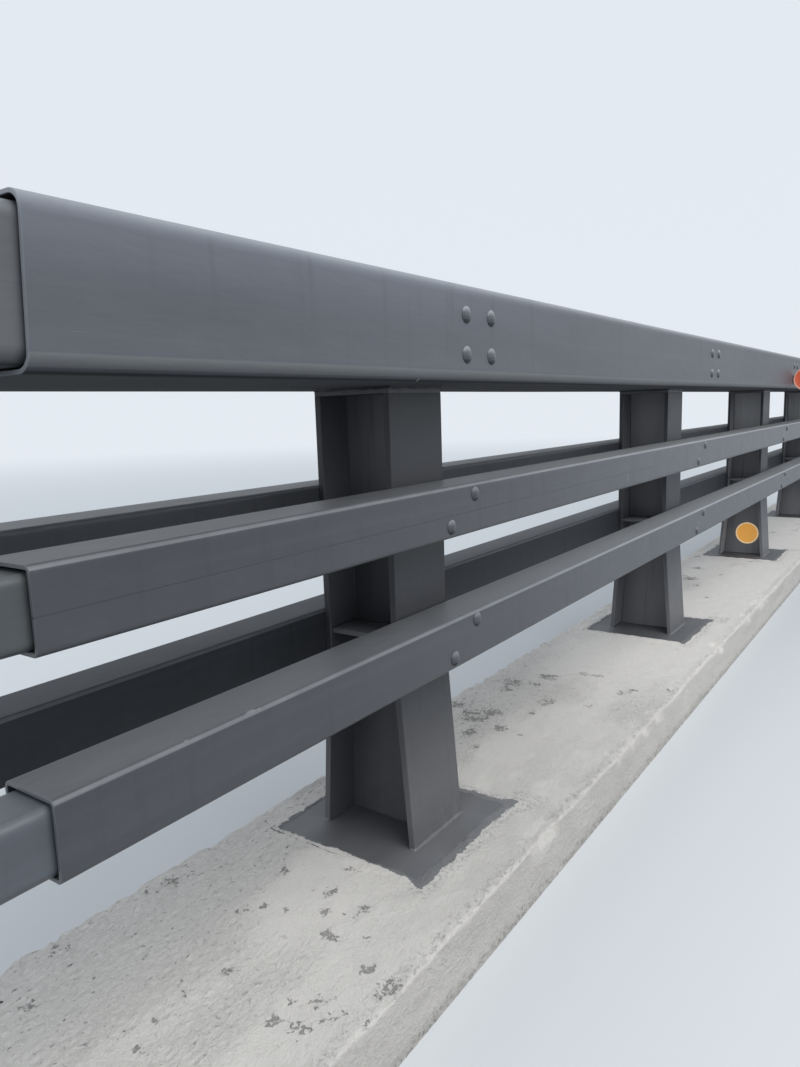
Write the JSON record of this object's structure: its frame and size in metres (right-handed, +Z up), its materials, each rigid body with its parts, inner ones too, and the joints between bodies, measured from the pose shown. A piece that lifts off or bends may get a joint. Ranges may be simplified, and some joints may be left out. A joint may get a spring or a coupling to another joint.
{
  "type": "highway guardrail section",
  "caption": "Double-sided steel beam-and-post median guardrail on a low concrete plinth: wide top rail, paired square side rails, flared plate posts and joint sleeves.",
  "frame": {"origin": "on the plinth's underside, in the plane that halves the posts and midway between the two inner ones", "axes": "X along the rails, the joint sleeves standing out at the -X end; Y across the section; Z up"},
  "size_m": [8.235, 0.719, 1.375],
  "materials": {
    "rail_paint": "satin",
    "post_paint": "satin",
    "sleeve_paint": "satin",
    "base_paint": "matte",
    "concrete": "matte",
    "reflector": "gloss",
    "red_reflector": "gloss"
  },
  "bodies": {
    "root": {"plinth": "concrete", "post_1_base_plate": "base_paint", "post_1_front_flange": "post_paint", "post_1_rear_flange": "post_paint", "post_1_web": "post_paint", "post_1_stiffeners": "post_paint", "post_1_cap_plate": "post_paint", "post_2_base_plate": "base_paint", "post_2_front_flange": "post_paint", "post_2_rear_flange": "post_paint", "post_2_web": "post_paint", "post_2_stiffeners": "post_paint", "post_2_cap_plate": "post_paint", "post_3_base_plate": "base_paint", "post_3_front_flange": "post_paint", "post_3_rear_flange": "post_paint", "post_3_web": "post_paint", "post_3_stiffeners": "post_paint", "post_3_cap_plate": "post_paint", "post_4_base_plate": "base_paint", "post_4_front_flange": "post_paint", "post_4_rear_flange": "post_paint", "post_4_web": "post_paint", "post_4_stiffeners": "post_paint", "post_4_cap_plate": "post_paint", "front_lower_rail": "rail_paint", "front_lower_rail_sleeve": "sleeve_paint", "front_middle_rail": "rail_paint", "front_middle_rail_sleeve": "sleeve_paint", "rear_lower_rail": "rail_paint", "rear_lower_rail_sleeve": "sleeve_paint", "rear_middle_rail": "rail_paint", "rear_middle_rail_sleeve": "sleeve_paint", "top_rail": "rail_paint", "top_rail_sleeve": "sleeve_paint", "web_reflector": "reflector", "delineator_bracket": "post_paint", "delineator_disc": "red_reflector"}
  },
  "joints": []
}
